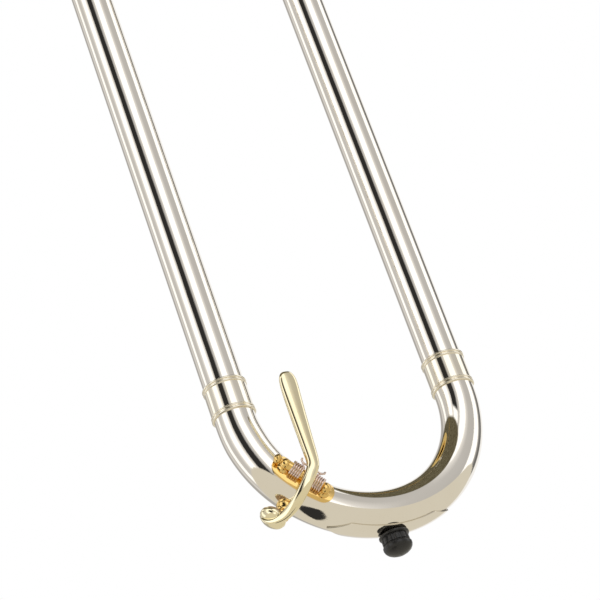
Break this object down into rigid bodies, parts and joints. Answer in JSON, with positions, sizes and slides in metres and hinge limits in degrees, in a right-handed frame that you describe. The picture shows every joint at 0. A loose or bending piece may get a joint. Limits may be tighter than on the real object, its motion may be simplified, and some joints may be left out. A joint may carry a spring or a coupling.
{
  "type": "tenor trombone",
  "caption": "Straight tenor trombone: sliding outer tubes end in a U bow with a wear plate, rubber bumper and sprung water key; bell, tuning slide and mouthpiece behind.",
  "frame": {"origin": "middle of the inner slide brace, which the left hand holds", "axes": "+X forward along the hand slide to its bow and out of the bell, +Z from the hand slide up to the bell, +Y to the player's left"},
  "size_m": [1.15, 0.2188, 0.2947],
  "materials": {
    "nickel_silver": "mirror polished and clear lacquered nickel silver",
    "chromed_tube": "bright hard chrome",
    "yellow_brass": "polished, clear lacquer",
    "gold_brass": "polished, gold lacquer",
    "pale_gold_brass": "polished, pale gold plate",
    "silver_plate": "polished silver plate",
    "spring_wire": "bronze wire",
    "cork": "natural cork",
    "rubber": "moulded black rubber"
  },
  "bodies": {
    "horn": {"inner_tube_upper": "chromed_tube", "inner_tube_lower": "chromed_tube", "stocking_upper": "chromed_tube", "stocking_lower": "chromed_tube", "cork_barrel_upper": "nickel_silver", "cork_barrel_lower": "nickel_silver", "inner_brace_collar_upper": "nickel_silver", "inner_brace_collar_lower": "nickel_silver", "inner_brace": "nickel_silver", "mouthpiece_receiver": "nickel_silver", "slide_tenon": "nickel_silver", "slide_cork_upper": "cork", "slide_cork_lower": "cork", "leadpipe": "yellow_brass", "neckpipe": "yellow_brass", "bell_stem": "yellow_brass", "bell_throat": "yellow_brass", "bell_flare": "yellow_brass", "bell_rim": "yellow_brass", "bell_socket": "nickel_silver", "bell_brace_front": "nickel_silver", "bell_brace_rear": "nickel_silver", "bell_ferrule_upper": "nickel_silver", "bell_ferrule_lower": "nickel_silver", "tuning_outer_leg_upper": "nickel_silver", "tuning_outer_leg_lower": "nickel_silver"},
    "outer_slide": {"outer_tube_upper": "nickel_silver", "outer_tube_lower": "nickel_silver", "tube_end_ring_upper": "nickel_silver", "tube_end_ring_lower": "nickel_silver", "grip_sleeve_upper": "nickel_silver", "grip_sleeve_lower": "nickel_silver", "outer_brace_collar_upper": "nickel_silver", "outer_brace_collar_lower": "nickel_silver", "outer_brace": "nickel_silver", "slide_lock_pin": "nickel_silver", "bow_ferrule_upper": "nickel_silver", "bow_ferrule_lower": "nickel_silver", "slide_bow": "nickel_silver", "bow_guard": "nickel_silver", "key_saddle": "gold_brass", "key_hinge_screw": "gold_brass", "water_nipple": "gold_brass", "bumper_stud": "gold_brass", "bumper": "rubber", "key_spring": "spring_wire"},
    "water_key": {"key_lever": "pale_gold_brass", "key_cork": "cork"},
    "slide_lock": {"slide_lock_ring": "nickel_silver"},
    "lock_nut": {"bell_lock_nut": "nickel_silver"},
    "tuning_slide": {"tuning_inner_leg_upper": "nickel_silver", "tuning_inner_leg_lower": "nickel_silver", "tuning_ferrule_upper": "nickel_silver", "tuning_ferrule_lower": "nickel_silver", "tuning_brace": "nickel_silver", "tuning_bow": "yellow_brass"},
    "mouthpiece": {"mouthpiece": "silver_plate"}
  },
  "joints": [
    {"name": "hand_slide", "type": "slide", "parent": "horn", "child": "outer_slide", "axis": [1, 0, 0], "range_m": [0, 0.585]},
    {"name": "water_key_hinge", "type": "hinge", "parent": "outer_slide", "child": "water_key", "pos_m": [0.73182, 0.03182, -0.0122], "axis": [-0.7071, 0.7071, 0], "range_deg": [0, 18], "stiffness_Nm_per_rad": 0.05, "springref_deg": -34.38, "deforming": ["key_spring"]},
    {"name": "slide_lock_turn", "type": "hinge", "parent": "horn", "child": "slide_lock", "pos_m": [0.042, -0.045, 0], "axis": [-1, 0, 0], "range_deg": [0, 34]},
    {"name": "bell_nut_turn", "type": "hinge", "parent": "horn", "child": "lock_nut", "pos_m": [-0.027, 0.045, 0], "axis": [1, 0, 0], "range_deg": [0, 360]},
    {"name": "tuning_slide_pull", "type": "slide", "parent": "horn", "child": "tuning_slide", "axis": [-1, 0, 0], "range_m": [0, 0.06]},
    {"name": "mouthpiece_pull", "type": "slide", "parent": "horn", "child": "mouthpiece", "axis": [-1, 0, 0], "range_m": [0, 0.045]}
  ]
}
